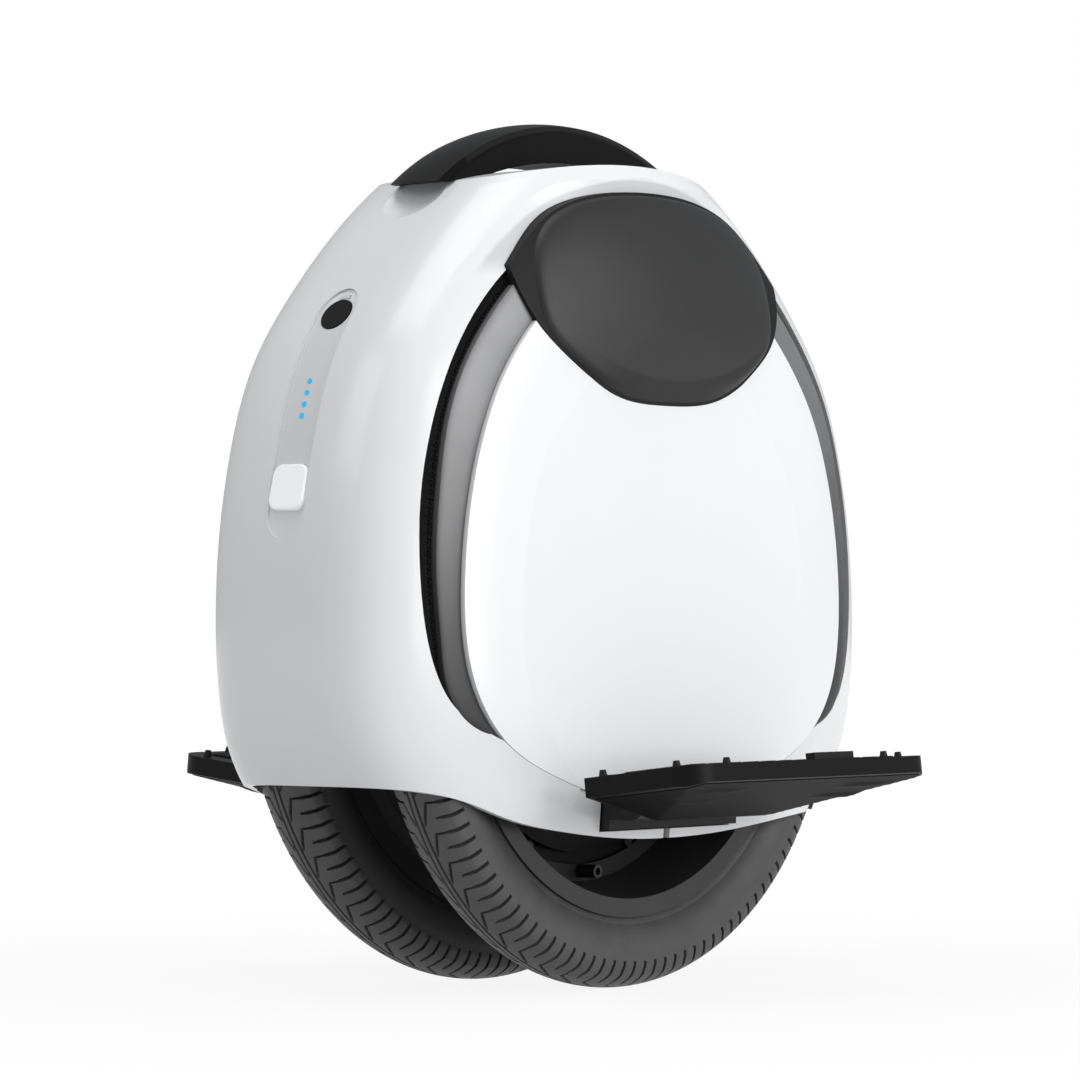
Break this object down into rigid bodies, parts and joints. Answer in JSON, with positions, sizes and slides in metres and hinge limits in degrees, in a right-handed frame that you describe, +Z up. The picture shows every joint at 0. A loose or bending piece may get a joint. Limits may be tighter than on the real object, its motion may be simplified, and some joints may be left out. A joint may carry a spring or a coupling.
{
  "type": "electric unicycle",
  "caption": "Electric unicycle: egg-shaped casing with carrying handle over a twin-tyre hub-motor wheel, knee pads and fold-up pedals.",
  "frame": {"origin": "on the floor midway under the axle, between the two tyres", "axes": "+X forward to the control face, +Y along the axle to the left, +Z up"},
  "size_m": [0.414, 0.374, 0.467],
  "materials": {
    "arch_plastic": "moulded",
    "axle_steel": "turned",
    "battery_wrap": "shrink wrap",
    "bearing_steel": "ground",
    "bezel_grey": "satin grey",
    "board_green": "solder mask",
    "bracket_black": "black satin paint",
    "button_white": "smooth moulded plastic",
    "chip_black": "moulded",
    "core_steel": "stacked sheet",
    "cover_dark": "black satin paint",
    "flap_black": "soft moulded",
    "frame_black": "fine moulded grain",
    "handle_plastic": "fine moulded grain",
    "handle_soft": "soft-touch overmould",
    "hanger_alloy": "milled",
    "lead_black": "smooth jacket",
    "lens_blue": "clear tinted",
    "magnet_nickel": "nickel plated",
    "mat_rubber": "ribbed",
    "motor_alloy": "cast satin",
    "pad_base_grey": "fine dotted grain",
    "pad_soft": "soft moulded foam skin",
    "panel_white": "smooth moulded plastic, satin gloss",
    "pedal_black": "cast, black satin paint",
    "rim_alloy": "machined satin",
    "shell_white": "smooth moulded plastic, satin gloss",
    "sink_alloy": "extruded",
    "socket_metal": "plated",
    "steel": "zinc plated",
    "strip_black": "dark tinted light guide",
    "stud_rubber": "hard",
    "switch_black": "moulded",
    "tube_rubber": "smooth",
    "tyre_rubber": "moulded tread",
    "valve_brass": "plated",
    "winding": "enamelled copper wire"
  },
  "bodies": {
    "casing": {"main_shell": "shell_white", "side_frame_left": "frame_black", "side_frame_right": "frame_black", "side_panel_left": "panel_white", "side_panel_right": "panel_white", "bezel_ring_left": "bezel_grey", "bezel_ring_right": "bezel_grey", "light_strip_left": "strip_black", "light_strip_right": "strip_black", "pad_base_left": "pad_base_grey", "pad_base_right": "pad_base_grey", "knee_pad_left": "pad_soft", "knee_pad_right": "pad_soft", "handle_grip": "handle_soft", "handle_core": "handle_plastic", "handle_screws": "steel", "charge_lenses": "lens_blue", "indicator_board": "board_green", "button_switch": "switch_black", "charge_socket": "socket_metal", "axle": "axle_steel", "axle_nuts": "steel", "stator_core": "core_steel", "stator_coils": "winding", "hanger_left": "hanger_alloy", "hanger_right": "hanger_alloy", "hanger_bolts": "steel", "bracket_bolts": "steel", "hinge_bracket_left": "bracket_black", "hinge_bracket_right": "bracket_black", "hinge_pins": "steel", "wheel_arch": "arch_plastic", "battery_front": "battery_wrap", "battery_rear": "battery_wrap", "heat_sink": "sink_alloy", "control_board": "board_green", "board_parts": "chip_black", "motor_cable": "lead_black"},
    "wheel": {"tyre_left": "tyre_rubber", "tyre_right": "tyre_rubber", "rim_left": "rim_alloy", "rim_right": "rim_alloy", "inner_tubes": "tube_rubber", "valves": "valve_brass", "motor_ring": "motor_alloy", "cover_bolts": "steel", "motor_cover_left": "cover_dark", "motor_cover_right": "cover_dark", "wheel_bearings": "bearing_steel", "rotor_magnets": "magnet_nickel"},
    "pedal_left": {"pedal_left": "pedal_black", "pedal_mat_left": "mat_rubber", "pedal_studs_left": "stud_rubber"},
    "pedal_right": {"pedal_right": "pedal_black", "pedal_mat_right": "mat_rubber", "pedal_studs_right": "stud_rubber"},
    "power_button": {"power_button": "button_white"},
    "port_flap": {"port_flap": "flap_black"}
  },
  "joints": [
    {"name": "wheel_spin", "type": "hinge", "parent": "casing", "child": "wheel", "pos_m": [0, 0, 0.175], "axis": [0, 1, 0], "continuous": true},
    {"name": "pedal_left_fold", "type": "hinge", "parent": "casing", "child": "pedal_left", "pos_m": [0, 0.104, 0.102], "axis": [1, 0, 0], "range_deg": [0, 80]},
    {"name": "pedal_right_fold", "type": "hinge", "parent": "casing", "child": "pedal_right", "pos_m": [0, -0.104, 0.102], "axis": [-1, 0, 0], "range_deg": [0, 80]},
    {"name": "power_button_press", "type": "slide", "parent": "casing", "child": "power_button", "axis": [-0.9672, 0, -0.2542], "range_m": [0, 0.0012], "stiffness_N_per_m": 600, "springref_m": -0.001},
    {"name": "port_flap_open", "type": "hinge", "parent": "casing", "child": "port_flap", "pos_m": [0.15739, 0, 0.36475], "axis": [0, -1, 0], "range_deg": [0, 110]}
  ]
}
